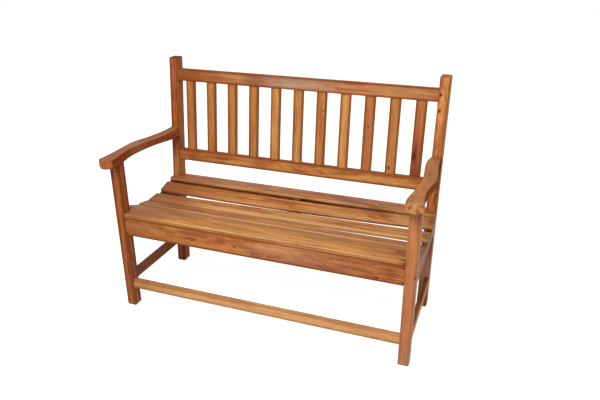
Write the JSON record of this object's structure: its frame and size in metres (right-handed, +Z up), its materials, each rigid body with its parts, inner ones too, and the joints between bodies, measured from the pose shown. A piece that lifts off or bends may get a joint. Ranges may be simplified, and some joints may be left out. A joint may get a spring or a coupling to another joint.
{
  "type": "garden bench",
  "caption": "Slatted hardwood garden bench with a dished seat, waved open arms, an upright-slat backrest and low stretchers.",
  "frame": {"origin": "on the floor, under the middle of the bench's overall box", "axes": "+X along the bench to the right as seen from in front, +Y from the front edge to the backrest, +Z up; left and right in the names are as seen from in front"},
  "size_m": [1.2072, 0.577, 0.939],
  "materials": {
    "oiled_hardwood": "semi-gloss oil or varnish",
    "dowel_wood": "plain",
    "nail_steel": "dull"
  },
  "bodies": {
    "root": {"apron_nails": "nail_steel", "arm_left": "oiled_hardwood", "arm_rear_dowels": "dowel_wood", "arm_right": "oiled_hardwood", "arm_upright_dowels": "dowel_wood", "back_lower_rail": "oiled_hardwood", "back_post_left": "oiled_hardwood", "back_post_right": "oiled_hardwood", "back_slat_01": "oiled_hardwood", "back_slat_02": "oiled_hardwood", "back_slat_03": "oiled_hardwood", "back_slat_04": "oiled_hardwood", "back_slat_05": "oiled_hardwood", "back_slat_06": "oiled_hardwood", "back_slat_07": "oiled_hardwood", "back_slat_08": "oiled_hardwood", "back_slat_09": "oiled_hardwood", "back_slat_10": "oiled_hardwood", "back_slat_11": "oiled_hardwood", "back_top_rail": "oiled_hardwood", "centre_seat_support": "oiled_hardwood", "front_apron": "oiled_hardwood", "front_leg_left": "oiled_hardwood", "front_leg_right": "oiled_hardwood", "front_stretcher": "oiled_hardwood", "leg_nails": "nail_steel", "post_nails": "nail_steel", "rear_seat_rail": "oiled_hardwood", "seat_front_board": "oiled_hardwood", "seat_nails": "nail_steel", "seat_slat_2": "oiled_hardwood", "seat_slat_3": "oiled_hardwood", "seat_slat_4": "oiled_hardwood", "seat_slat_5": "oiled_hardwood", "side_seat_rail_left": "oiled_hardwood", "side_seat_rail_right": "oiled_hardwood", "side_stretcher_left": "oiled_hardwood", "side_stretcher_right": "oiled_hardwood"}
  },
  "joints": []
}
